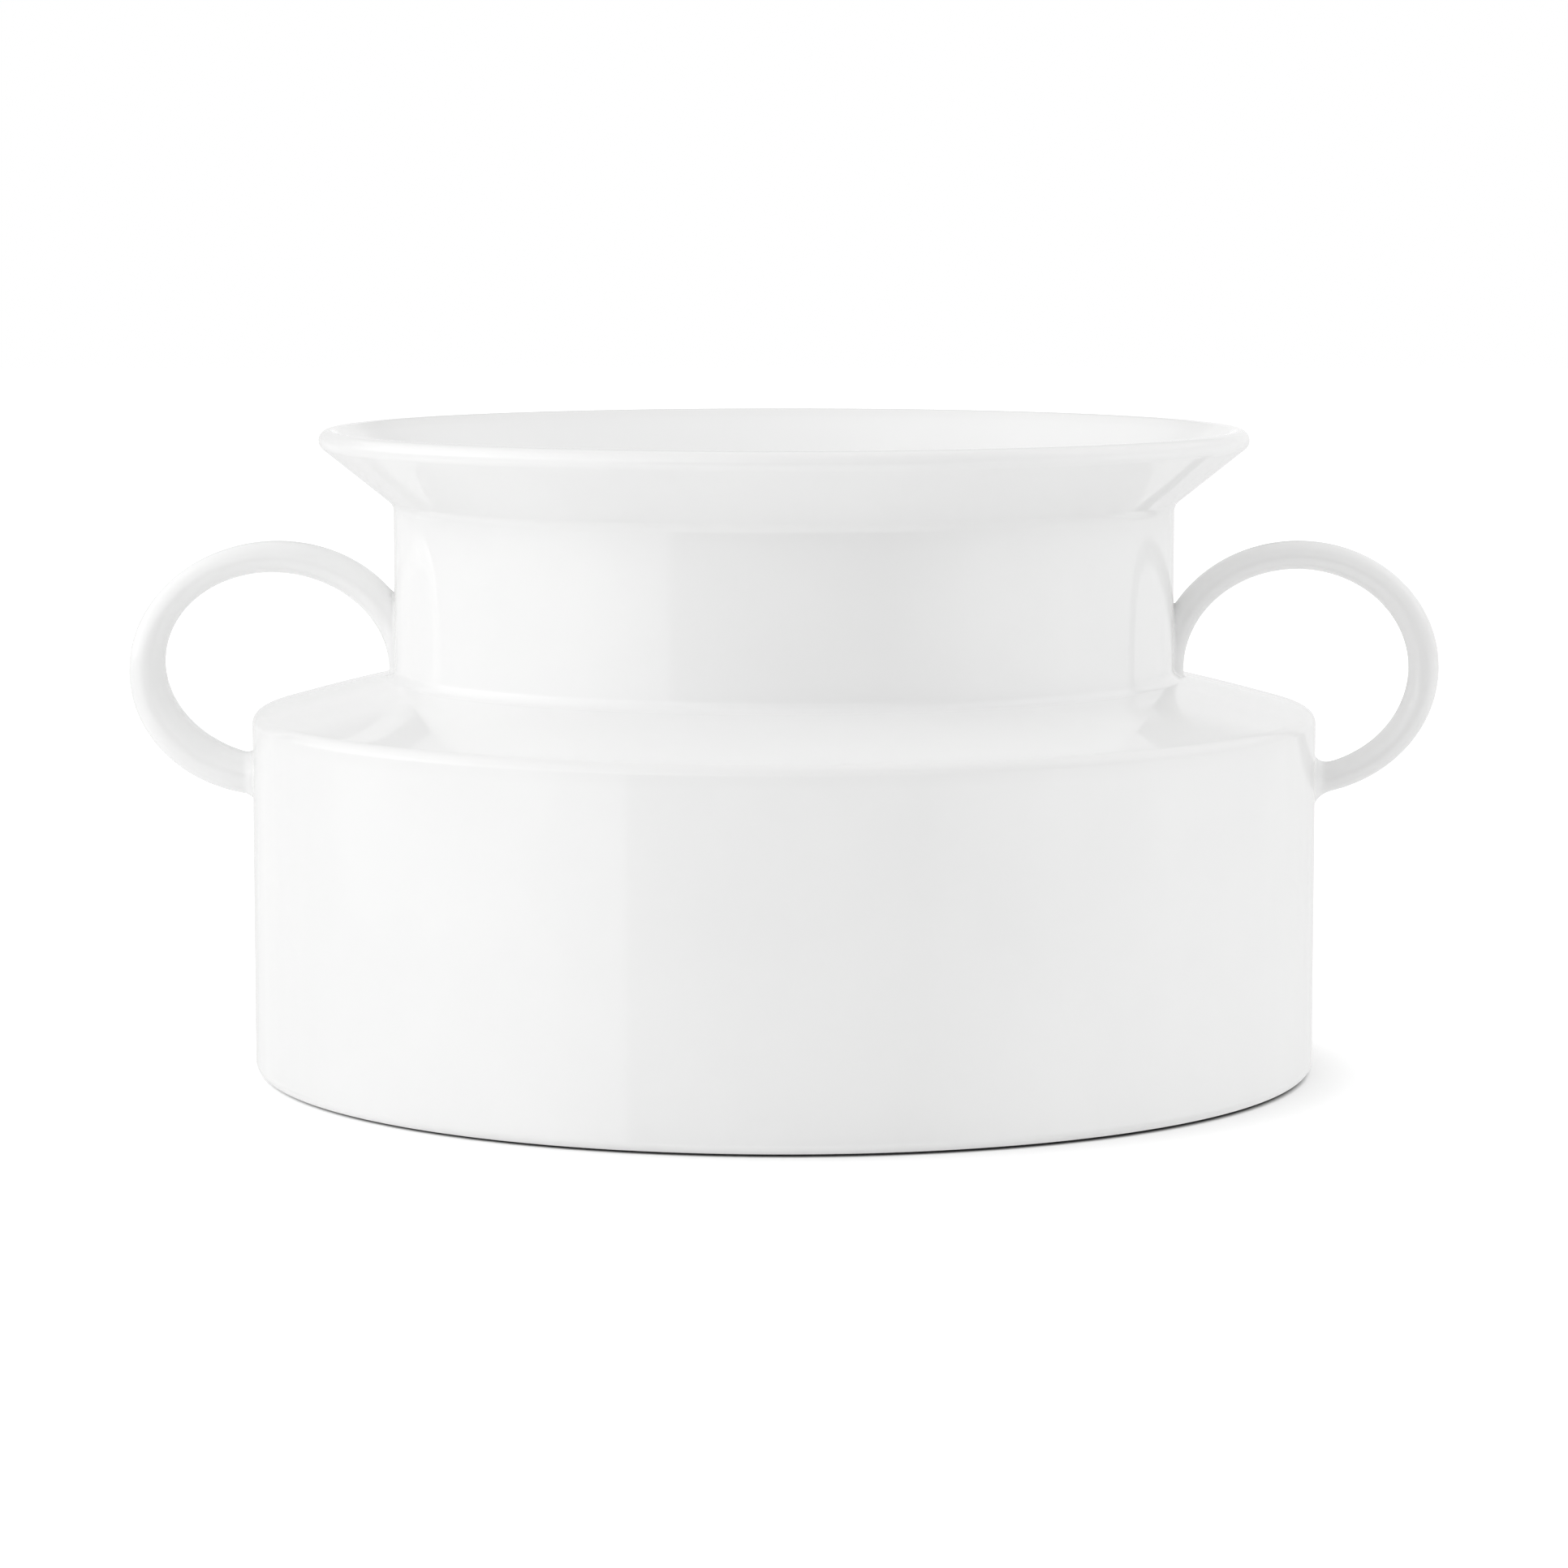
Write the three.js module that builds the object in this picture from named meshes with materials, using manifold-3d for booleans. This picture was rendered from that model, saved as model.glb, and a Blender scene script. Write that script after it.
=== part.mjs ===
// A low two-handled vase in white glazed porcelain.
// A wide drum with a gently domed shoulder carries an upright neck that flares to a rolled rim.
// On each side a round rod loops from the neck, out over the shoulder and back into the drum's side.
// Each piece is formed on its own and luted to the next with slip, then all of it is glazed and fired.
// Millimetres, +Z up. The origin is on the ground, under the middle of the foot ring.
import * as THREE from 'three';
import { mergeVertices } from 'three/addons/utils/BufferGeometryUtils.js';
import Module from 'manifold-3d';

// Drum
const DRUM_DIAMETER = 220;
const SIDE_HEIGHT = 72;
const LOWER_EDGE_RADIUS = 2.2;
const SHOULDER_EDGE_RADIUS = 2.5;
const SHOULDER_EDGE_SLOPE = THREE.MathUtils.degToRad(16);
const SHOULDER_NECK_SLOPE = THREE.MathUtils.degToRad(12.5);
const INNER_EDGE_RADIUS = 5;
const FLOOR_THICKNESS = 5;
const FLOOR_FILLET = 6;
const WALL = 4.4;

// Foot ring, set in a rebate behind the skirt at the drum's lower edge
const FOOT_LIFT = 0.3;
const FOOT_REBATE = 2;
const FOOT_WIDTH = 6;
const FOOT_EDGE_RADIUS = 0.8;
const SKIRT_WIDTH = 6;

// Neck and rim
const NECK_DIAMETER = 161.2;
const NECK_HEIGHT = 35.9;
const RIM_DIAMETER = 191.8;
const FLARE_ANGLE = THREE.MathUtils.degToRad(51.3);
const FLARE_FILLET = 3;

// Handles: each loop is an ellipse that runs from inside the neck's corner to inside the drum's side
const HANDLE_REACH = 26;
const HANDLE_DROP = 16.3;
const HANDLE_RISE = 28.1;
const LEFT_BITE = 1.8;
const LEFT_ROD = 7.2;
const LEFT_SWELL = 0.95;
const LEFT_PINCH = 0.85;
const LEFT_SWELL_AT = THREE.MathUtils.degToRad(-50);
const RIGHT_BITE = 0.6;
const RIGHT_ROD = 6.05;
const RIGHT_SWELL = 0.2;
const RIGHT_PINCH = 0.1;
const RIGHT_SWELL_AT = 0;
const LOOP_START = THREE.MathUtils.degToRad(-112);
const LOOP_END = THREE.MathUtils.degToRad(208);

// Slip joints
const NECK_SLIP_FILM = 0.5;
const NECK_SLIP_FILLET = 1.8;
const HANDLE_SLIP = 1;
const HANDLE_SLIP_FLARE = 1.2;
const SEAT_GAP = 0.1;

// Facets
const TURNS = 72;
const ROD_STEPS = 40;
const ROD_SIDES = 14;
const SLIP_STEPS = 160;
const SLIP_SIDES = 20;

// Derived radii and heights
const drumRadius = DRUM_DIAMETER / 2;
const neckRadius = NECK_DIAMETER / 2;
const neckBore = neckRadius - WALL;
const footOuter = drumRadius - SKIRT_WIDTH;
const footTop = FOOT_LIFT + FOOT_REBATE;
const floorTop = footTop + FLOOR_THICKNESS;
const sideTop = FOOT_LIFT + SIDE_HEIGHT;
const seatRadius = neckRadius + NECK_SLIP_FILLET;
const edgeTop = new THREE.Vector2(
  drumRadius - SHOULDER_EDGE_RADIUS * (1 - Math.sin(SHOULDER_EDGE_SLOPE)),
  sideTop + SHOULDER_EDGE_RADIUS * Math.cos(SHOULDER_EDGE_SLOPE),
);
const shoulderSpan = edgeTop.x - seatRadius;
const edgeFall = Math.tan(SHOULDER_EDGE_SLOPE);
const neckFall = Math.tan(SHOULDER_NECK_SLOPE);
const seatHeight = edgeTop.y + shoulderSpan * (edgeFall + neckFall) / 2;
const neckBase = seatHeight + NECK_SLIP_FILM;
const flareCorner = seatHeight + NECK_HEIGHT;
const flareStart = flareCorner - FLARE_FILLET * Math.tan(FLARE_ANGLE / 2);
const handles = [
  {
    side: 'left',
    turn: Math.PI,
    bite: LEFT_BITE,
    rod: LEFT_ROD,
    swell: LEFT_SWELL,
    pinch: LEFT_PINCH,
    swellAt: LEFT_SWELL_AT,
  },
  {
    side: 'right',
    turn: 0,
    bite: RIGHT_BITE,
    rod: RIGHT_ROD,
    swell: RIGHT_SWELL,
    pinch: RIGHT_PINCH,
    swellAt: RIGHT_SWELL_AT,
  },
];

const wasm = await Module();
wasm.setup();

// Profiles, as points of radius and height

function arc(centreRadius, centreHeight, radius, from, to, steps) {
  const points = [];
  for (let i = 0; i <= steps; i += 1) {
    const angle = from + (to - from) * i / steps;
    points.push(new THREE.Vector2(
      centreRadius + radius * Math.cos(angle),
      centreHeight + radius * Math.sin(angle),
    ));
  }
  return points;
}

function point(radius, height) {
  return new THREE.Vector2(radius, height);
}

// The shoulder's slope grows evenly from the neck to the edge
function shoulderSlope(radius) {
  const outward = (radius - seatRadius) / shoulderSpan;
  return Math.atan(neckFall + (edgeFall - neckFall) * outward);
}

function shoulderHeight(radius) {
  const outward = radius - seatRadius;
  return seatHeight - neckFall * outward - (edgeFall - neckFall) * outward ** 2 / (2 * shoulderSpan);
}

// Points along the shoulder, lifted off its outer face by a distance along the normal
function shoulderPoints(fromRadius, toRadius, lift, steps) {
  const points = [];
  for (let i = 0; i <= steps; i += 1) {
    const radius = fromRadius + (toRadius - fromRadius) * i / steps;
    const slope = shoulderSlope(radius);
    points.push(point(radius + lift * Math.sin(slope), shoulderHeight(radius) + lift * Math.cos(slope)));
  }
  return points;
}

// The outer face from the top of the drum's side, over the shoulder and up the neck, grown outwards
function upperFace(grow) {
  const fillet = Math.max(NECK_SLIP_FILLET - grow, NECK_SLIP_FILLET / 10);
  const edge = arc(drumRadius - SHOULDER_EDGE_RADIUS, sideTop, SHOULDER_EDGE_RADIUS + grow,
    0, Math.PI / 2 - SHOULDER_EDGE_SLOPE, 4);
  const dome = shoulderPoints(edgeTop.x, seatRadius, grow, 4).slice(1, -1);
  const corner = arc(neckRadius + grow + fillet, seatHeight + grow + fillet, fillet,
    -Math.PI / 2, -Math.PI, 3);
  return [...edge, ...dome, ...corner, point(neckRadius + grow, flareStart)];
}

function lathe(profile) {
  return new THREE.LatheGeometry(profile, TURNS).rotateX(Math.PI / 2);
}

function ring(profile) {
  return lathe([...profile, profile[0].clone()]);
}

// Pieces turned on the wheel

function drumGeometry() {
  const innerRadius = drumRadius - WALL;
  const innerEdge = innerRadius - INNER_EDGE_RADIUS * (1 - Math.sin(SHOULDER_EDGE_SLOPE));
  const vault = shoulderPoints(seatRadius, innerEdge + WALL * Math.sin(SHOULDER_EDGE_SLOPE), -WALL, 4);
  const vaultEnd = vault[vault.length - 1];
  const vaultSlope = shoulderSlope(vaultEnd.x);
  const rounding = arc(innerRadius - INNER_EDGE_RADIUS, vaultEnd.y - INNER_EDGE_RADIUS * Math.cos(vaultSlope),
    INNER_EDGE_RADIUS, Math.PI / 2 - vaultSlope, 0, 4);
  return lathe([
    point(0, footTop),
    point(footOuter + SEAT_GAP, footTop),
    point(footOuter + SEAT_GAP, FOOT_LIFT),
    ...arc(drumRadius - LOWER_EDGE_RADIUS, FOOT_LIFT + LOWER_EDGE_RADIUS, LOWER_EDGE_RADIUS,
      -Math.PI / 2, 0, 4),
    ...arc(drumRadius - SHOULDER_EDGE_RADIUS, sideTop, SHOULDER_EDGE_RADIUS,
      0, Math.PI / 2 - SHOULDER_EDGE_SLOPE, 4),
    ...shoulderPoints(edgeTop.x, seatRadius, 0, 4).slice(1),
    point(neckBore, seatHeight),
    point(neckBore, seatHeight - WALL),
    ...vault.slice(0, -1),
    ...rounding,
    ...arc(innerRadius - FLOOR_FILLET, floorTop + FLOOR_FILLET, FLOOR_FILLET, 0, -Math.PI / 2, 4),
    point(0, floorTop),
  ]);
}

function footRingGeometry() {
  const footInner = footOuter - FOOT_WIDTH;
  return ring([
    point(footInner, footTop),
    ...arc(footInner + FOOT_EDGE_RADIUS, FOOT_EDGE_RADIUS, FOOT_EDGE_RADIUS, Math.PI, 1.5 * Math.PI, 3),
    ...arc(footOuter - FOOT_EDGE_RADIUS, FOOT_EDGE_RADIUS, FOOT_EDGE_RADIUS, -Math.PI / 2, 0, 3),
    point(footOuter, footTop),
  ]);
}

function neckGeometry() {
  const lip = WALL / 2;
  const lipRadius = RIM_DIAMETER / 2 - lip;
  const filletCentre = point(neckRadius + FLARE_FILLET, flareStart);
  const flareEnd = Math.PI - FLARE_ANGLE;
  const middle = FLARE_FILLET + lip;
  const along = (lipRadius - filletCentre.x - middle * Math.cos(flareEnd)) / Math.sin(FLARE_ANGLE);
  const lipHeight = flareStart + middle * Math.sin(flareEnd) + along * Math.cos(FLARE_ANGLE);
  return ring([
    point(neckBore, neckBase),
    point(neckRadius, neckBase),
    ...arc(filletCentre.x, filletCentre.y, FLARE_FILLET, Math.PI, flareEnd, 5),
    ...arc(lipRadius, lipHeight, lip, -FLARE_ANGLE, flareEnd, 8),
    ...arc(filletCentre.x, filletCentre.y, FLARE_FILLET + WALL, flareEnd, Math.PI, 5),
  ]);
}

function neckSlipGeometry() {
  const fillet = arc(seatRadius, seatHeight + NECK_SLIP_FILLET, NECK_SLIP_FILLET, -Math.PI / 2, -Math.PI, 4);
  return ring([
    point(neckBore, seatHeight),
    ...fillet,
    point(neckRadius, neckBase),
    point(neckBore, neckBase),
  ]);
}

// Handle loops

// The hand-rolled rod is thickest at one angle of the loop and pinched a quarter turn to each side of it.
// Angle 0 is the loop's outermost point and a quarter turn its top.
function rodRadius(handle, angle) {
  const turn = angle - handle.swellAt;
  return (handle.rod + handle.swell * Math.cos(turn) + handle.pinch * Math.cos(2 * turn)) / 2;
}

function loopOf(handle) {
  const inner = neckRadius - handle.bite;
  const outer = drumRadius + HANDLE_REACH - rodRadius(handle, 0);
  const bottom = sideTop - HANDLE_DROP + rodRadius(handle, -Math.PI / 2);
  const top = seatHeight + HANDLE_RISE - rodRadius(handle, Math.PI / 2);
  return {
    centre: point((inner + outer) / 2, (bottom + top) / 2),
    halfWidth: (outer - inner) / 2,
    halfHeight: (top - bottom) / 2,
  };
}

// How far a point of the loop stands clear of the face that its end runs into
function clearance(radius, height) {
  if (height < sideTop) return radius - drumRadius;
  return Math.min(radius - neckRadius, height - seatHeight);
}

// Slip spreads into a hollow fillet as it nears the wall
function slipSpread(gap) {
  const closeness = THREE.MathUtils.clamp(1 - gap / HANDLE_SLIP_FLARE, 0, 1);
  return HANDLE_SLIP_FLARE * (1 - Math.sqrt(1 - closeness ** 2));
}

// A round rod along the loop, whose skin spreads by a given rule
function rodGeometry(handle, steps, sides, spread) {
  const loop = loopOf(handle);
  const positions = [];
  const indices = [];
  for (let i = 0; i <= steps; i += 1) {
    const angle = LOOP_START + (LOOP_END - LOOP_START) * i / steps;
    const outward = point(Math.cos(angle) / loop.halfWidth, Math.sin(angle) / loop.halfHeight).normalize();
    const middle = point(
      loop.centre.x + loop.halfWidth * Math.cos(angle),
      loop.centre.y + loop.halfHeight * Math.sin(angle),
    );
    const radius = rodRadius(handle, angle);
    for (let j = 0; j < sides; j += 1) {
      const around = 2 * Math.PI * j / sides;
      const skin = (size) => new THREE.Vector3(
        middle.x + size * Math.cos(around) * outward.x,
        size * Math.sin(around),
        middle.y + size * Math.cos(around) * outward.y,
      );
      const bare = skin(radius);
      const grown = skin(radius + spread(Math.hypot(bare.x, bare.y), bare.z));
      positions.push(grown.x, grown.y, grown.z);
    }
  }
  for (let i = 0; i < steps; i += 1) {
    for (let j = 0; j < sides; j += 1) {
      const a = i * sides + j;
      const b = i * sides + (j + 1) % sides;
      indices.push(a, b, b + sides, a, b + sides, a + sides);
    }
  }
  const last = steps * sides;
  for (let j = 1; j < sides - 1; j += 1) {
    indices.push(0, j + 1, j);
    indices.push(last, last + j, last + j + 1);
  }
  const geometry = new THREE.BufferGeometry();
  geometry.setAttribute('position', new THREE.Float32BufferAttribute(positions, 3));
  geometry.setIndex(indices);
  return geometry.rotateZ(handle.turn);
}

// Joining and cutting

function solidOf(geometry) {
  const bare = geometry.clone();
  bare.deleteAttribute('normal');
  bare.deleteAttribute('uv');
  const merged = mergeVertices(bare, 1e-4);
  const source = merged.index.array;
  const triangles = [];
  for (let i = 0; i < source.length; i += 3) {
    const [a, b, c] = [source[i], source[i + 1], source[i + 2]];
    if (a !== b && b !== c && c !== a) triangles.push(a, b, c);
  }
  return new wasm.Manifold(new wasm.Mesh({
    numProp: 3,
    vertProperties: new Float32Array(merged.attributes.position.array),
    triVerts: new Uint32Array(triangles),
  }));
}

function geometryOf(solid) {
  const mesh = solid.getMesh();
  const geometry = new THREE.BufferGeometry();
  geometry.setAttribute('position', new THREE.Float32BufferAttribute(mesh.vertProperties, 3));
  geometry.setIndex(new THREE.Uint32BufferAttribute(mesh.triVerts, 1));
  geometry.computeVertexNormals();
  return geometry;
}

// The whole vessel without its hollow, grown outwards, to cut the handles to length
function vesselBlock(grow) {
  return solidOf(lathe([
    point(0, FOOT_LIFT),
    point(drumRadius + grow, FOOT_LIFT),
    ...upperFace(grow),
    point(0, flareStart),
  ]));
}

// The thin layers round the drum's side and the neck's corner that the handles' slip fills
function drumSlipLayer() {
  return solidOf(ring([
    point(drumRadius + SEAT_GAP, FOOT_LIFT),
    point(drumRadius + HANDLE_SLIP, FOOT_LIFT),
    point(drumRadius + HANDLE_SLIP, sideTop),
    point(drumRadius + SEAT_GAP, sideTop),
  ]));
}

function neckSlipLayer() {
  const outer = upperFace(HANDLE_SLIP).slice(4);
  const inner = upperFace(SEAT_GAP).slice(4).reverse();
  return solidOf(ring([...inner, ...outer]));
}

function handleGeometry(handle) {
  const rod = solidOf(rodGeometry(handle, ROD_STEPS, ROD_SIDES, () => 0));
  return geometryOf(rod.subtract(vesselBlock(HANDLE_SLIP + SEAT_GAP)));
}

function handleSlipGeometry(handle, layer) {
  const spread = (radius, height) => slipSpread(clearance(radius, height));
  return geometryOf(solidOf(rodGeometry(handle, SLIP_STEPS, SLIP_SIDES, spread)).intersect(layer));
}

// Materials and assembly

function glaze() {
  return new THREE.MeshStandardMaterial({ color: 0xf2f2f0, roughness: 0.12, metalness: 0 });
}

function bareClay() {
  return new THREE.MeshStandardMaterial({ color: 0xe9e4d9, roughness: 0.8, metalness: 0 });
}

const vase = new THREE.Group();

function addPiece(name, geometry, material) {
  const mesh = new THREE.Mesh(geometry, material);
  mesh.name = name;
  vase.add(mesh);
}

addPiece('drum', drumGeometry(), glaze());
addPiece('foot_ring', footRingGeometry(), bareClay());
addPiece('neck', neckGeometry(), glaze());
addPiece('neck_slip_joint', neckSlipGeometry(), glaze());
for (const handle of handles) {
  addPiece(`${handle.side}_handle`, handleGeometry(handle), glaze());
  addPiece(`${handle.side}_handle_neck_slip`, handleSlipGeometry(handle, neckSlipLayer()), glaze());
  addPiece(`${handle.side}_handle_drum_slip`, handleSlipGeometry(handle, drumSlipLayer()), glaze());
}

export default vase;
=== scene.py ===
# A low two-handled vase in white glazed porcelain, dressed over its solids.
# Metres, +Z up. The camera stands on the -Y side and looks along +Y, with +X to the right.
import math

import bpy
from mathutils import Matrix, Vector


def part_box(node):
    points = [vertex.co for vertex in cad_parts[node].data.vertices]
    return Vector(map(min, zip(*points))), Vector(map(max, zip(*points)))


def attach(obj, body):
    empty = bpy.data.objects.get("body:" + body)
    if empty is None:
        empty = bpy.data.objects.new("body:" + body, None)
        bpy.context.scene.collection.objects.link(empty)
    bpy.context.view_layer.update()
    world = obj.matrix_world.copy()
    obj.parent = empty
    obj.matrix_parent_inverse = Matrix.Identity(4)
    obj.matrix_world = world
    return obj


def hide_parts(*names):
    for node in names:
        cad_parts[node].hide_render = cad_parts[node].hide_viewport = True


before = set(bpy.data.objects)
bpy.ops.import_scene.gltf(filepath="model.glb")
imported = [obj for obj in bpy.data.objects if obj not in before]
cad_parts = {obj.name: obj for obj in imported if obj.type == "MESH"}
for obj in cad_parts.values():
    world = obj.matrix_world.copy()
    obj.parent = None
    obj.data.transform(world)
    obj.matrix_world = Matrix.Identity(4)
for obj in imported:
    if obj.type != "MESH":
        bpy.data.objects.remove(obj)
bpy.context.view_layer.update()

MM = 0.001

# Vessel
WALL = 4.4 * MM
LOWER_EDGE = 2.2 * MM
SHOULDER_EDGE = 2.5 * MM
SHOULDER_EDGE_SLOPE = math.radians(16)
SHOULDER_NECK_SLOPE = math.radians(12.5)
CORNER_FILLET = 2.4 * MM
INNER_EDGE = 5 * MM
INNER_CORNER = 1.5 * MM
FLOOR_THICKNESS = 5 * MM
FLOOR_FILLET = 6 * MM
FLARE_ANGLE = math.radians(51.3)
FLARE_FILLET = 3 * MM
FOOT_GAP = 0.1 * MM
FOOT_WIDTH = 6 * MM
FOOT_EDGE = 0.8 * MM

# Handles, with angles round the loop: 0 is the outermost point and a quarter turn is the top.
# The bite is how far a loop's middle line reaches into the neck; the share of painted shade greys the
# whole handle's glaze.
HANDLES = {
    "left": {
        "side": -1,
        "bite": 1.8 * MM,
        "rod": 7.2 * MM,
        "swell": 0.95 * MM,
        "pinch": 0.85 * MM,
        "swell_at": math.radians(-50),
        "thin": 0.0,
        "drum_fillet": 2.5 * MM,
    },
    "right": {
        "side": 1,
        "bite": 0.6 * MM,
        "rod": 6.05 * MM,
        "swell": 0.2 * MM,
        "pinch": 0.1 * MM,
        "swell_at": 0.0,
        "thin": 1.0,
        "drum_fillet": 4.5 * MM,
    },
}
NECK_FILLET = 1 * MM
SLIP_SINK = 0.03 * MM
SLIP_DEPTH = 0.6 * MM
ROOT_DEPTH = 2 * MM
ROOT_COVER = 1 * MM
LOOP_INSET = 0.03 * MM

# Fineness of the meshes
TURNS = 512
ROD_SIDES = 96
MARCH_STEPS = 16
MARCH_REACH = 1.5
HALVINGS = 14
GRADIENT_STEP = 0.01 * MM
ARC_STEP = math.radians(5)
LINE_STEP = 2.5 * MM
ROD_STEP = math.radians(2.5)
ROOT_STEP = math.radians(0.35)
DRUM_ROOT = math.radians(14)
NECK_ROOT = math.radians(42)
SHARP_ANGLE = math.radians(50)

# Glaze: whiter in the joints (pooled glaze and painted light), greyer at the edges (thin glaze and painted
# shade) and over the right handle (painted shade)
GLAZE_DEEP = (0.885, 0.886, 0.884)
GLAZE_PALE = (0.9, 0.901, 0.898)
GLAZE_POOLED_AND_LIT = (0.93, 0.931, 0.93)
GLAZE_THINNED_AND_SHADED = (0.855, 0.854, 0.851)
GLAZE_SMOOTHEST = 0.025
GLAZE_ROUGHEST = 0.045
GLAZE_IOR = 1.5
RIPPLE_DEPTH = 0.006 * MM
CORNER_POOL_AND_LIGHT = 8 * MM
ROOT_POOL_AND_LIGHT = 1.5 * MM
ROOT_FADE = 2 * MM
EDGE_THIN_AND_SHADE = 1.6 * MM

# Bare clay
CLAY_DEEP = (0.80, 0.77, 0.70)
CLAY_PALE = (0.84, 0.81, 0.745)
CLAY_SPECK = (0.74, 0.70, 0.62)
CLAY_SMOOTHEST = 0.7
CLAY_ROUGHEST = 0.9
GRAIN_DEPTH = 0.1 * MM

# Noise: spots to a metre, detail, and the range of it that is stretched to the full range
GLAZE_CLOUD = {"scale": 26, "detail": 3, "low": 0.35, "high": 0.65}
GLAZE_SHEEN = {"scale": 60, "detail": 2, "low": 0.3, "high": 0.7}
GLAZE_RIPPLE = {"scale": 45, "detail": 1}
CLAY_CLOUD = {"scale": 90, "detail": 3, "low": 0.3, "high": 0.7}
CLAY_GRAIN = {"scale": 900, "detail": 4, "low": 0.35, "high": 0.7}

# Camera
CAMERA_PLACE = (0.0, -1.106, 0.1846)
CAMERA_PITCH = math.radians(83.5)
SENSOR = 36.0
FOCAL_PIXELS = 6589
PHOTO_PIXELS = 1932

# Floor, with a contact shadow painted dark under the vase's lower edge and the soft shadow round it, as
# distances from their centres
FLOOR_HALF = 4.0
FLOOR_WHITE = 0.95
FLOOR_GLOW = 0.38
PAINTED_CONTACT_SHADOW = 0.08
CONTACT_CENTRE = (0.7 * MM, -1.8 * MM, 0.0)
CONTACT_FROM = 106.2 * MM
CONTACT_TO = 109 * MM
SHADOW_CENTRE = (9 * MM, -8 * MM, 0.0)
SHADOW_FROM = 100 * MM
SHADOW_TO = 128 * MM
SHADOW_SHARE = 0.25

# Studio light, as bands stacked from the ground up to the ceiling. Each band is a list of degrees
# round from the camera, right positive, with how bright it is there.
# The ground and the low wall are seen by gloss alone, because the floor lies in front of them.
GROUND = [(-180, 1.0), (180, 1.0)]
LOW_WALL = [
    (-180, 0.85), (-150, 0.85), (-120, 0.5), (-90, 0.5), (-60, 0.9), (-33.2, 0.8), (-32.4, 0.1),
    (0, 0.0), (30.3, 0.0), (31.1, 0.1), (60, 1.2), (90, 1.5), (120, 1.1), (150, 0.9), (180, 0.85),
]
EYE_WALL = [
    (-180, 0.95), (-135, 0.5), (-90, 2.2), (-45, 1.7), (0, 0.7),
    (45, 0.45), (90, 1.25), (135, 0.95), (180, 0.95),
]
HIGH_WALL = [
    (-180, 0.4), (-135, 1.0), (-90, 1.7), (-45, 1.25), (0, 0.6),
    (45, 0.6), (90, 1.6), (135, 1.25), (180, 0.4),
]
CEILING = [(-180, 1.0), (-90, 0.85), (0, 0.95), (90, 1.05), (180, 1.0)]
LIGHT_PEAK = 2.5

# The angles up from level between which each band takes over from the one below it, and the cone
# in which gloss sees the white backdrop
LOW_FADE = (math.radians(-30), math.radians(-16))
EYE_FADE = (math.radians(-3), math.radians(3))
HIGH_FADE = (math.radians(15), math.radians(25))
CEILING_FADE = (math.radians(45), math.radians(65))
BACKDROP_FROM = math.cos(math.radians(6))
BACKDROP_TO = math.cos(math.radians(3))

# Sizes taken from the frame
drum_low, drum_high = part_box("drum")
neck_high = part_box("neck")[1]
slip_low, slip_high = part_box("neck_slip_joint")
foot_low, foot_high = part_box("foot_ring")
drum_radius = drum_high.x
seat_height = drum_high.z
seat_radius = slip_high.x
slip_fillet = slip_high.z - slip_low.z
neck_radius = seat_radius - slip_fillet
neck_bore = neck_radius - WALL
rim_radius = neck_high.x
floor_top = foot_high.z + FLOOR_THICKNESS
edge_fall = math.tan(SHOULDER_EDGE_SLOPE)
neck_fall = math.tan(SHOULDER_NECK_SLOPE)
edge_radius = drum_radius - SHOULDER_EDGE * (1 - math.sin(SHOULDER_EDGE_SLOPE))
shoulder_span = edge_radius - seat_radius
edge_height = seat_height - shoulder_span * (edge_fall + neck_fall) / 2
side_top = edge_height - SHOULDER_EDGE * math.cos(SHOULDER_EDGE_SLOPE)
corner_radius = neck_radius + CORNER_FILLET
corner_foot = corner_radius - CORNER_FILLET * math.sin(SHOULDER_NECK_SLOPE)
corner_base = seat_height - neck_fall * (corner_foot - seat_radius)
corner_height = corner_base + CORNER_FILLET * math.cos(SHOULDER_NECK_SLOPE)
edge_core = (drum_radius - SHOULDER_EDGE / 3, side_top + SHOULDER_EDGE / 2)


# Profiles, as points of radius and height

def arc(radius, height, size, start, end):
    points = []
    steps = math.ceil(abs(end - start) / ARC_STEP)
    for i in range(steps + 1):
        angle = start + (end - start) * i / steps
        points.append((radius + size * math.cos(angle), height + size * math.sin(angle)))
    return points


def line(start, end):
    """The points between two ends, without the ends themselves."""
    steps = math.ceil(math.dist(start, end) / LINE_STEP)
    return [
        (start[0] + (end[0] - start[0]) * i / steps, start[1] + (end[1] - start[1]) * i / steps)
        for i in range(1, steps)
    ]


def dome_height(radius):
    """The height of the domed shoulder, whose slope grows evenly from the neck to the edge."""
    outward = radius - seat_radius
    extra_fall = (edge_fall - neck_fall) * outward ** 2 / (2 * shoulder_span)
    return seat_height - neck_fall * outward - extra_fall


def shoulder(start, end, lift):
    """Points along the domed shoulder, lifted off its outer face."""
    points = []
    steps = math.ceil(abs(end - start) / LINE_STEP)
    for i in range(steps + 1):
        radius = start + (end - start) * i / steps
        slope = math.atan(neck_fall + (edge_fall - neck_fall) * (radius - seat_radius) / shoulder_span)
        points.append((radius + lift * math.sin(slope), dome_height(radius) + lift * math.cos(slope)))
    return points


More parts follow.
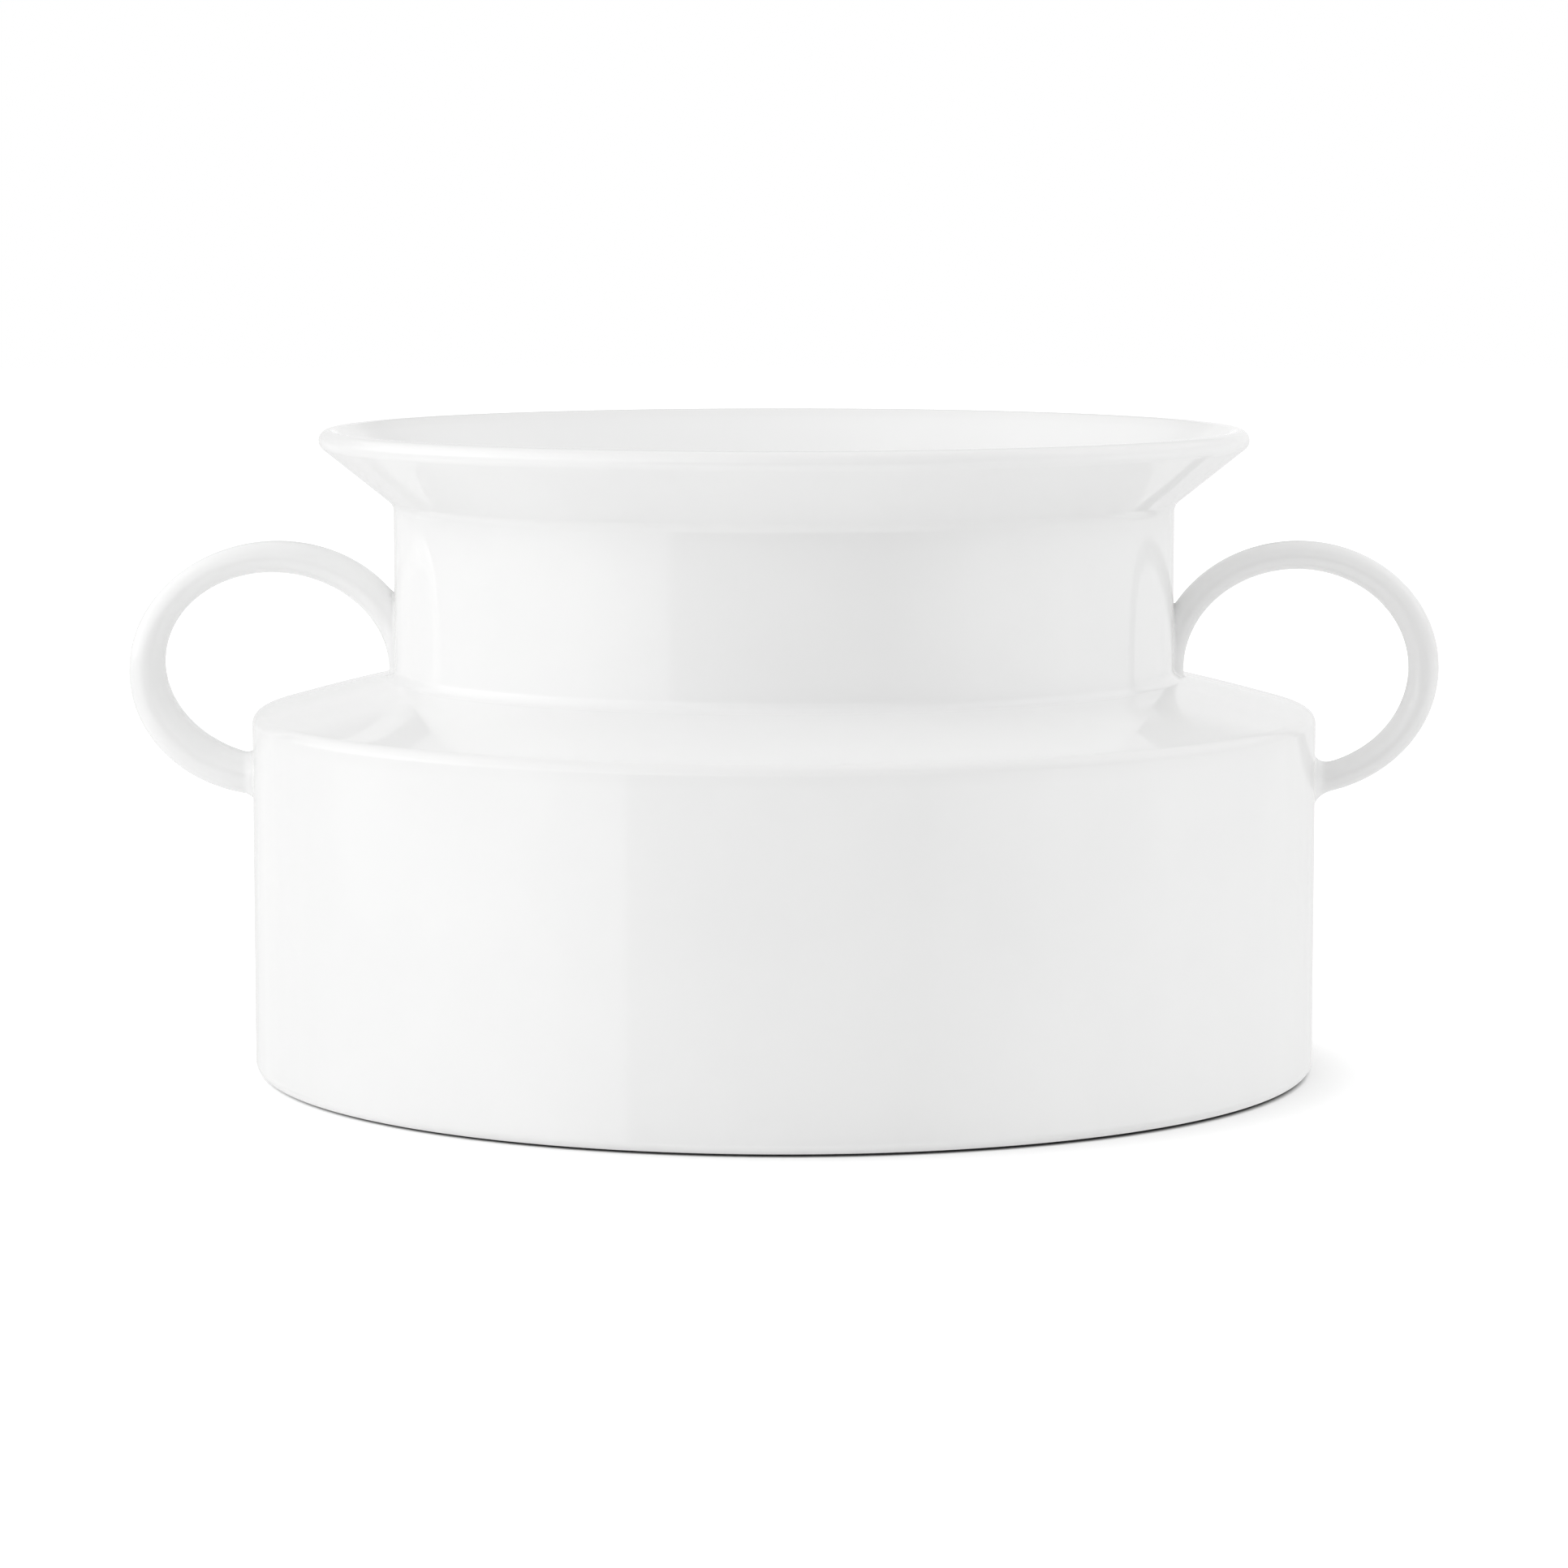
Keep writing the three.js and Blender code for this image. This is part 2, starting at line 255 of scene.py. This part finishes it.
def rim_profile():
    """The flare's outer face, the rolled lip and the flare's inner face."""
    lip = WALL / 2
    lip_radius = rim_radius - lip
    lip_height = neck_high.z - lip
    flare_end = math.pi - FLARE_ANGLE
    middle = FLARE_FILLET + lip
    centre = neck_radius + FLARE_FILLET
    along = (lip_radius - centre - middle * math.cos(flare_end)) / math.sin(FLARE_ANGLE)
    flare_start = lip_height - middle * math.sin(flare_end) - along * math.cos(FLARE_ANGLE)
    under = arc(centre, flare_start, FLARE_FILLET, math.pi, flare_end)
    roll = arc(lip_radius, lip_height, lip, -FLARE_ANGLE, flare_end)
    over = arc(centre, flare_start, FLARE_FILLET + WALL, flare_end, math.pi)
    return under + line(under[-1], roll[0]) + roll + line(roll[-1], over[0]) + over


def outer_profile():
    """From the middle of the base, round the lower edge and over the shoulder to the neck's corner."""
    foot_wall = foot_high.x + FOOT_GAP
    lower = arc(drum_radius - LOWER_EDGE, drum_low.z + LOWER_EDGE, LOWER_EDGE, -math.pi / 2, 0)
    edge = arc(drum_radius - SHOULDER_EDGE, side_top, SHOULDER_EDGE, 0, math.pi / 2 - SHOULDER_EDGE_SLOPE)
    dome = shoulder(edge_radius, corner_foot, 0)
    corner_start = -math.pi / 2 - SHOULDER_NECK_SLOPE
    corner = arc(corner_radius, corner_height, CORNER_FILLET, corner_start, -math.pi)
    base = [(0.0, foot_high.z), (foot_wall, foot_high.z), (foot_wall, drum_low.z)]
    return base + lower + line(lower[-1], edge[0]) + edge + dome[1:-1] + corner


def inner_profile():
    """From the neck's bore, under the shoulder and down the side to the middle of the floor."""
    inner_radius = drum_radius - WALL
    vault = shoulder(neck_bore + INNER_CORNER + WALL, inner_radius - INNER_EDGE / 2, -WALL)
    turn_in = math.pi / 2 - SHOULDER_EDGE_SLOPE
    throat_end = 1.5 * math.pi - SHOULDER_NECK_SLOPE
    throat = arc(neck_bore + INNER_CORNER, vault[0][1] + INNER_CORNER, INNER_CORNER, math.pi, throat_end)
    rounding_height = vault[-1][1] - INNER_EDGE * math.sin(turn_in)
    rounding = arc(inner_radius - INNER_EDGE, rounding_height, INNER_EDGE, turn_in, 0)
    fillet = arc(inner_radius - FLOOR_FILLET, floor_top + FLOOR_FILLET, FLOOR_FILLET, 0, -math.pi / 2)
    middle = (0.0, floor_top)
    side = rounding + line(rounding[-1], fillet[0]) + fillet
    return throat + vault[1:-1] + side + line(fillet[-1], middle) + [middle]


def vessel_profile():
    """The whole skin from the middle of the base, up the outside and down the inside to the floor."""
    outside = outer_profile()
    rim = rim_profile()
    inside = inner_profile()
    return outside + line(outside[-1], rim[0]) + rim + line(rim[-1], inside[0]) + inside


def foot_profile():
    inner = foot_high.x - FOOT_WIDTH
    rounding = foot_low.z + FOOT_EDGE
    left = arc(inner + FOOT_EDGE, rounding, FOOT_EDGE, math.pi, 1.5 * math.pi)
    right = arc(foot_high.x - FOOT_EDGE, rounding, FOOT_EDGE, -math.pi / 2, 0)
    underside = left + line(left[-1], right[0]) + right
    return [(inner, foot_high.z)] + underside + [(foot_high.x, foot_high.z)]


# Meshes

def piece(name, vertices, faces, material, nodes):
    """A smooth piece of the vase that rides on the body and stands for solids of the frame."""
    mesh = bpy.data.meshes.new(name)
    mesh.from_pydata(vertices, [], faces)
    mesh.shade_smooth()
    mesh.set_sharp_from_angle(angle=SHARP_ANGLE)
    mesh.materials.append(material)
    thing = bpy.data.objects.new(name, mesh)
    bpy.context.scene.collection.objects.link(thing)
    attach(thing, "root")
    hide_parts(*nodes)
    return thing


def turned(profile, closed):
    """Vertices and faces of a profile turned round the axis; points on the axis become one vertex."""
    vertices = []
    rings = []
    for radius, height in profile:
        count = 1 if radius == 0 else TURNS
        rings.append(range(len(vertices), len(vertices) + count))
        for k in range(count):
            angle = 2 * math.pi * k / TURNS
            vertices.append((radius * math.cos(angle), radius * math.sin(angle), height))
    faces = []
    following = rings[1:] + rings[:1] if closed else rings[1:]
    for ring, above in zip(rings, following):
        for k in range(TURNS):
            after = (k + 1) % TURNS
            lower = [ring[k % len(ring)], ring[after % len(ring)]]
            upper = [above[after % len(above)], above[k % len(above)]]
            faces.append(tuple(dict.fromkeys(lower + upper)))
    return vertices, faces


def rod_radius(handle, angle):
    """Half the thickness of a handle's rod at an angle round its loop."""
    turn = angle - handle["swell_at"]
    return (handle["rod"] + handle["swell"] * math.cos(turn) + handle["pinch"] * math.cos(2 * turn)) / 2


def loop_of(name, handle):
    """The ellipse that a handle's rod follows, from the frame's box of that handle."""
    low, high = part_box(name + "_handle")
    inner = neck_radius - handle["bite"]
    outer = max(high.x, -low.x) - rod_radius(handle, 0) - LOOP_INSET
    bottom = low.z + rod_radius(handle, -math.pi / 2)
    top = high.z - rod_radius(handle, math.pi / 2)
    return {
        "radius": (inner + outer) / 2,
        "height": (bottom + top) / 2,
        "half_width": (outer - inner) / 2,
        "half_height": (top - bottom) / 2,
    }


def clearance(radius, height):
    """How far a point stands off the vessel's outer face, below zero inside the wall."""
    if radius < corner_radius and height < corner_height:
        return CORNER_FILLET - math.hypot(radius - corner_radius, height - corner_height)
    above = height - dome_height(min(radius, edge_radius))
    return min(max(radius - drum_radius, above), radius - neck_radius)


def wall_gap(place):
    return clearance(math.hypot(place.x, place.y), place.z)


def wall_direction(radius, height):
    """Which way the wall's outer face points near a place, as a step outwards and a step up."""
    here = clearance(radius, height)
    outwards = clearance(radius + GRADIENT_STEP, height) - here
    upwards = clearance(radius, height + GRADIENT_STEP) - here
    return outwards / GRADIENT_STEP, upwards / GRADIENT_STEP


def fillet_share(first, second, fillet):
    """How far two faces blend at a place, from 0 where they are far apart to 1 where they meet."""
    return max(fillet - abs(first - second), 0) / fillet


def smooth_union(first, second, fillet):
    """Two distances joined into one, with a hollow fillet where they meet."""
    return min(first, second) - fillet * fillet_share(first, second, fillet) ** 2 / 4


def skin_reach(middle, outward, size, fillet):
    """How far the glazed skin lies from the middle of a rod of this size, in one direction."""
    bare_gap = wall_gap(middle + outward * size)
    if bare_gap > fillet:
        return size

    def outside(reach):
        over_wall = wall_gap(middle + outward * reach) + SLIP_SINK
        return smooth_union(reach - size, over_wall, fillet) > 0

    step = MARCH_REACH * fillet / MARCH_STEPS
    for i in range(1, MARCH_STEPS + 1):
        far = size + i * step
        if outside(far):
            near = far - step
            for _ in range(HALVINGS):
                between = (near + far) / 2
                near, far = (near, between) if outside(between) else (between, far)
            return far
    return size + fillet * max(0.0, 1 + min(bare_gap, 0) / SLIP_DEPTH)


def loop_angles(loop):
    """Angles from just inside the drum's wall, over the top, to just inside the neck's corner."""
    start = -math.acos((drum_radius - ROOT_DEPTH - loop["radius"]) / loop["half_width"])
    end = math.pi + math.asin((loop["height"] - seat_height + ROOT_DEPTH) / loop["half_height"])
    angles = []
    angle = start
    while angle < end:
        angles.append(angle)
        near_root = angle < start + DRUM_ROOT or angle > end - NECK_ROOT
        angle += ROOT_STEP if near_root else ROD_STEP
    return angles + [end]


def covered(place):
    """Keeps a point of a handle's root inside the neck's wall."""
    radius = math.hypot(place.x, place.y)
    inmost = neck_bore + ROOT_COVER
    if radius >= inmost:
        return place
    return Vector((place.x * inmost / radius, place.y * inmost / radius, place.z))


def skin_normal(place, outward, over_rod, fillet):
    """The rod's own normal away from the wall, leaning to the wall's in the fillet."""
    radius = math.hypot(place.x, place.y)
    over_wall = clearance(radius, place.z) + SLIP_SINK
    outwards, upwards = wall_direction(radius, place.z)
    wall = Vector((outwards * place.x / radius, outwards * place.y / radius, upwards))
    lean = fillet_share(over_rod, over_wall, fillet) / 2
    return outward.lerp(wall, lean if over_rod < over_wall else 1 - lean).normalized()


def rod_ring(handle, loop, angle):
    """Points and normals of the skin round a handle's rod, at an angle round its loop."""
    across = Vector((math.cos(angle) / loop["half_width"], math.sin(angle) / loop["half_height"]))
    across.normalize()
    middle = Vector((
        loop["radius"] + loop["half_width"] * math.cos(angle),
        0,
        loop["height"] + loop["half_height"] * math.sin(angle),
    ))
    size = rod_radius(handle, angle)
    fillet = handle["drum_fillet"] if angle < 0 else NECK_FILLET
    ring = []
    for j in range(ROD_SIDES):
        around = 2 * math.pi * j / ROD_SIDES
        sideways = math.cos(around)
        outward = Vector((across.x * sideways, math.sin(around), across.y * sideways))
        reach = skin_reach(middle, outward, size, fillet)
        place = covered(middle + outward * reach)
        ring.append((place, skin_normal(place, outward, reach - size, fillet)))
    return ring


def rod_faces(rings, side):
    """Faces between the rings of a rod and over its two ends."""
    faces = []
    for i in range(rings - 1):
        for j in range(ROD_SIDES):
            here = i * ROD_SIDES + j
            beside = i * ROD_SIDES + (j + 1) % ROD_SIDES
            faces.append((here, beside, beside + ROD_SIDES, here + ROD_SIDES))
    first = tuple(range(ROD_SIDES))
    last = tuple((rings - 1) * ROD_SIDES + j for j in first)
    faces += [first[::-1], last]
    return faces if side > 0 else [face[::-1] for face in faces]


def handle_mesh(name, handle):
    """Vertices, faces and normals of a handle's rod with the slip at its roots."""
    loop = loop_of(name, handle)
    mirror = Vector((handle["side"], 1, 1))
    angles = loop_angles(loop)
    vertices = []
    normals = []
    for angle in angles:
        for place, normal in rod_ring(handle, loop, angle):
            vertices.append(place * mirror)
            normals.append(normal * mirror)
    return vertices, rod_faces(len(angles), handle["side"]), normals


# Shader nodes

def node(tree, kind, **values):
    made = tree.nodes.new(kind)
    for key, value in values.items():
        setattr(made, key, value)
    return made


def calc(tree, operation, *values):
    """A math node on sockets or plain numbers."""
    made = node(tree, "ShaderNodeMath", operation=operation)
    for socket, value in zip(made.inputs, values):
        if isinstance(value, bpy.types.NodeSocket):
            tree.links.new(value, socket)
        else:
            socket.default_value = value
    return made.outputs[0]


def noise(tree, place, kind):
    made = node(tree, "ShaderNodeTexNoise")
    made.inputs["Scale"].default_value = kind["scale"]
    made.inputs["Detail"].default_value = kind["detail"]
    tree.links.new(place, made.inputs["Vector"])
    return made.outputs["Fac"]


def spread(tree, value, low, high, to_low, to_high):
    """Maps a range to another, with soft ends."""
    made = node(tree, "ShaderNodeMapRange", interpolation_type="SMOOTHSTEP")
    for key, number in (("From Min", low), ("From Max", high), ("To Min", to_low), ("To Max", to_high)):
        made.inputs[key].default_value = number
    tree.links.new(value, made.inputs["Value"])
    return made.outputs["Result"]


def patches(tree, place, kind, to_low, to_high):
    """Noise stretched to a range of its own."""
    return spread(tree, noise(tree, place, kind), kind["low"], kind["high"], to_low, to_high)


def grey(level):
    return (level, level, level)


def opaque(colour):
    return (*colour, 1)


def tint(tree, factor, first, second):
    """Mixes two colours, each a socket or three numbers."""
    made = node(tree, "ShaderNodeMix", data_type="RGBA")
    tree.links.new(factor, made.inputs["Factor"])
    for key, colour in (("A", first), ("B", second)):
        socket = [s for s in made.inputs if s.name == key and s.type == "RGBA"][0]
        if isinstance(colour, bpy.types.NodeSocket):
            tree.links.new(colour, socket)
        else:
            socket.default_value = opaque(colour)
    return [s for s in made.outputs if s.type == "RGBA"][0]


def background(tree, strength):
    made = node(tree, "ShaderNodeBackground")
    made.inputs["Color"].default_value = opaque(grey(1))
    made.inputs["Strength"].default_value = strength
    return made


def mixed(tree, factor, first, second):
    made = node(tree, "ShaderNodeMixShader")
    for socket, link in zip(made.inputs, (factor, first, second)):
        tree.links.new(link, socket)
    return made.outputs[0]


# Materials

def new_material(name):
    made = bpy.data.materials.new(name)
    made.use_nodes = True
    shader = made.node_tree.nodes["Principled BSDF"]
    place = node(made.node_tree, "ShaderNodeTexCoord").outputs["Object"]
    return made, made.node_tree, shader, place


def bump(tree, shader, height, depth):
    """Raises the surface by a height from 0 to 1 times a depth."""
    made = node(tree, "ShaderNodeBump")
    made.inputs["Strength"].default_value = 1
    made.inputs["Distance"].default_value = depth
    tree.links.new(height, made.inputs["Height"])
    tree.links.new(made.outputs["Normal"], shader.inputs["Normal"])


def painted(tree, name):
    """What paint() wrote at the vertices under a name."""
    return node(tree, "ShaderNodeAttribute", attribute_name=name).outputs["Fac"]


def glaze_material():
    made, tree, shader, place = new_material("white_glaze")
    colour = tint(tree, patches(tree, place, GLAZE_CLOUD, 0, 1), GLAZE_DEEP, GLAZE_PALE)
    # Whiter in the joints: partly pooled glaze, partly painted light that lifts their shade
    colour = tint(tree, painted(tree, "pooling_and_light"), colour, GLAZE_POOLED_AND_LIT)
    # Greyer over the lip and the shoulder's edge (thin glaze and painted shade), and over the whole right
    # handle as painted shade
    colour = tint(tree, painted(tree, "thinning"), colour, GLAZE_THINNED_AND_SHADED)
    tree.links.new(colour, shader.inputs["Base Color"])
    roughness = patches(tree, place, GLAZE_SHEEN, GLAZE_SMOOTHEST, GLAZE_ROUGHEST)
    tree.links.new(roughness, shader.inputs["Roughness"])
    shader.inputs["IOR"].default_value = GLAZE_IOR
    bump(tree, shader, noise(tree, place, GLAZE_RIPPLE), RIPPLE_DEPTH)
    return made


def clay_material():
    made, tree, shader, place = new_material("bare_clay")
    grain = patches(tree, place, CLAY_GRAIN, 0, 1)
    colour = tint(tree, patches(tree, place, CLAY_CLOUD, 0, 1), CLAY_DEEP, CLAY_PALE)
    colour = tint(tree, grain, colour, CLAY_SPECK)
    tree.links.new(colour, shader.inputs["Base Color"])
    tree.links.new(spread(tree, grain, 0, 1, CLAY_SMOOTHEST, CLAY_ROUGHEST), shader.inputs["Roughness"])
    bump(tree, shader, grain, GRAIN_DEPTH)
    return made


def paint(thing, pooling_and_light, thinning):
    """Writes at each vertex how much the glaze pools, with painted light, and how much it thins, with
    painted shade.
    """
    mesh = thing.data
    for name, rule in (("pooling_and_light", pooling_and_light), ("thinning", thinning)):
        layer = mesh.attributes.new(name, "FLOAT", "POINT")
        layer.data.foreach_set("value", [rule(v.co) for v in mesh.vertices])


def bell(distance, reach):
    """A smooth fall from 1 to nearly 0 over about twice the reach."""
    return math.exp(-((distance / reach) ** 2))


def vessel_pooling_and_light(place):
    """Most in the corner under the neck, as pooled glaze and painted light against the corner's shade."""
    radius = math.hypot(place.x, place.y)
    return bell(math.hypot(radius - neck_radius, place.z - seat_height), CORNER_POOL_AND_LIGHT)


def vessel_thinning(place):
    """Most over the lip and the shoulder's edge, partly thin glaze and partly painted shade that dulls
    their highlights.
    """
    radius = math.hypot(place.x, place.y)
    lip = bell(neck_high.z - place.z, EDGE_THIN_AND_SHADE)
    return max(lip, bell(math.dist((radius, place.z), edge_core), EDGE_THIN_AND_SHADE))


def root_gap(place):
    """How far a point of a handle stands off the wall."""
    return max(wall_gap(place), 0)


def handle_pooling_and_light(place):
    """Most in the hollow of a root's fillet, and none at the fillet's edge: pooled glaze and painted
    light.
    """
    return bell(root_gap(place) - ROOT_POOL_AND_LIGHT, ROOT_POOL_AND_LIGHT / 2)


def handle_thinning(share):
    """A rule that greys a whole handle by a share as painted shade, but not where it runs into the wall.
    """
    return lambda place: share * (1 - bell(root_gap(place), ROOT_FADE))


# Pieces

def make_vase():
    glaze = glaze_material()
    clay = clay_material()
    vertices, faces = turned(vessel_profile(), False)
    nodes = ["drum", "neck", "neck_slip_joint"]
    vessel = piece("glazed_vessel", vertices, faces, glaze, nodes)
    paint(vessel, vessel_pooling_and_light, vessel_thinning)
    vertices, faces = turned(foot_profile(), True)
    piece("bare_foot_ring", vertices, faces, clay, ["foot_ring"])
    for name, handle in HANDLES.items():
        nodes = [name + "_handle", name + "_handle_neck_slip", name + "_handle_drum_slip"]
        vertices, faces, normals = handle_mesh(name, handle)
        loop = piece("glazed_" + name + "_handle", vertices, faces, glaze, nodes)
        loop.data.normals_split_custom_set_from_vertices(normals)
        paint(loop, handle_pooling_and_light, handle_thinning(handle["thin"]))


# Camera, floor and light

def make_camera():
    data = bpy.data.cameras.new("camera")
    data.sensor_width = SENSOR
    data.lens = SENSOR * FOCAL_PIXELS / PHOTO_PIXELS
    camera = bpy.data.objects.new("camera", data)
    camera.location = CAMERA_PLACE
    camera.rotation_euler = (CAMERA_PITCH, 0, 0)
    bpy.context.scene.collection.objects.link(camera)
    bpy.context.scene.camera = camera


def away_from(tree, centre):
    """The distance of a point of the floor from a centre."""
    made = node(tree, "ShaderNodeVectorMath", operation="DISTANCE")
    tree.links.new(node(tree, "ShaderNodeTexCoord").outputs["Object"], made.inputs[0])
    made.inputs[1].default_value = centre
    return made.outputs["Value"]


def floor_material():
    """White, with a glow up to the backdrop's white for the camera, but painted dark for the camera under
    the vase as a contact shadow.
    """
    material = bpy.data.materials.new("white_floor")
    material.use_nodes = True
    tree = material.node_tree
    tree.nodes.clear()
    diffuse = node(tree, "ShaderNodeBsdfDiffuse")
    camera = node(tree, "ShaderNodeLightPath").outputs["Is Camera Ray"]
    # A contact shadow painted dark on the floor under the vase, seen by the camera alone
    clear = spread(tree, away_from(tree, CONTACT_CENTRE), CONTACT_FROM, CONTACT_TO, 0, 1)
    white = calc(tree, "MAXIMUM", clear, calc(tree, "SUBTRACT", 1, camera))
    colour = tint(tree, white, grey(PAINTED_CONTACT_SHADOW), grey(FLOOR_WHITE))
    tree.links.new(colour, diffuse.inputs["Color"])
    unshaded = spread(tree, away_from(tree, SHADOW_CENTRE), SHADOW_FROM, SHADOW_TO, SHADOW_SHARE, 1)
    glow = node(tree, "ShaderNodeEmission")
    lift = calc(tree, "MULTIPLY", calc(tree, "MULTIPLY", clear, unshaded), FLOOR_GLOW)
    tree.links.new(calc(tree, "MULTIPLY", camera, lift), glow.inputs["Strength"])
    both = node(tree, "ShaderNodeAddShader")
    tree.links.new(diffuse.outputs[0], both.inputs[0])
    tree.links.new(glow.outputs[0], both.inputs[1])
    output = node(tree, "ShaderNodeOutputMaterial")
    tree.links.new(both.outputs[0], output.inputs["Surface"])
    return material


def make_floor():
    mesh = bpy.data.meshes.new("floor")
    corners = [(-FLOOR_HALF, -FLOOR_HALF, 0), (FLOOR_HALF, -FLOOR_HALF, 0)]
    corners += [(FLOOR_HALF, FLOOR_HALF, 0), (-FLOOR_HALF, FLOOR_HALF, 0)]
    mesh.from_pydata(corners, [], [(0, 1, 2, 3)])
    mesh.materials.append(floor_material())
    floor = bpy.data.objects.new("floor", mesh)
    floor.visible_glossy = False
    bpy.context.scene.collection.objects.link(floor)


def wall_ramp(tree, turn, stops):
    """A band's brightness by the direction round from the camera, as a share of the peak."""
    ramp = node(tree, "ShaderNodeValToRGB")
    elements = ramp.color_ramp.elements
    elements.remove(elements[1])
    for i, (degrees, level) in enumerate(stops):
        position = degrees / 360 + 0.5
        element = elements[0] if i == 0 else elements.new(position)
        element.position = position
        element.color = opaque(grey(level / LIGHT_PEAK))
    tree.links.new(turn, ramp.inputs["Fac"])
    return ramp.outputs["Color"]


def studio_light(tree, across, back, up):
    """The bands of wall and the ceiling, each fading into the next."""
    azimuth = calc(tree, "ARCTAN2", across, calc(tree, "MULTIPLY", back, -1))
    turn = calc(tree, "MULTIPLY_ADD", azimuth, 0.5 / math.pi, 0.5)
    colour = wall_ramp(tree, turn, GROUND)
    bands = [(LOW_WALL, LOW_FADE), (EYE_WALL, EYE_FADE), (HIGH_WALL, HIGH_FADE), (CEILING, CEILING_FADE)]
    for stops, fade in bands:
        above = spread(tree, up, math.sin(fade[0]), math.sin(fade[1]), 0, 1)
        colour = tint(tree, above, colour, wall_ramp(tree, turn, stops))
    light = background(tree, LIGHT_PEAK)
    tree.links.new(colour, light.inputs["Color"])
    return light.outputs[0]


def make_world():
    """Soft studio light from all round. The camera sees plain white, and gloss sees it behind the vase."""
    world = bpy.data.worlds.new("studio")
    bpy.context.scene.world = world
    world.use_nodes = True
    tree = world.node_tree
    tree.nodes.clear()
    split = node(tree, "ShaderNodeSeparateXYZ")
    tree.links.new(node(tree, "ShaderNodeTexCoord").outputs["Generated"], split.inputs[0])
    across, back, up = split.outputs
    rays = node(tree, "ShaderNodeLightPath").outputs
    shiny = calc(tree, "MAXIMUM", rays["Is Glossy Ray"], rays["Is Transmission Ray"])
    backdrop = spread(tree, back, BACKDROP_FROM, BACKDROP_TO, 0, 1)
    white = calc(tree, "MAXIMUM", rays["Is Camera Ray"], calc(tree, "MULTIPLY", shiny, backdrop))
    seen = mixed(tree, white, studio_light(tree, across, back, up), background(tree, 1).outputs[0])
    output = node(tree, "ShaderNodeOutputWorld")
    tree.links.new(seen, output.inputs["Surface"])


make_camera()
make_floor()
make_world()
make_vase()
bpy.context.scene.view_settings.view_transform = "Standard"
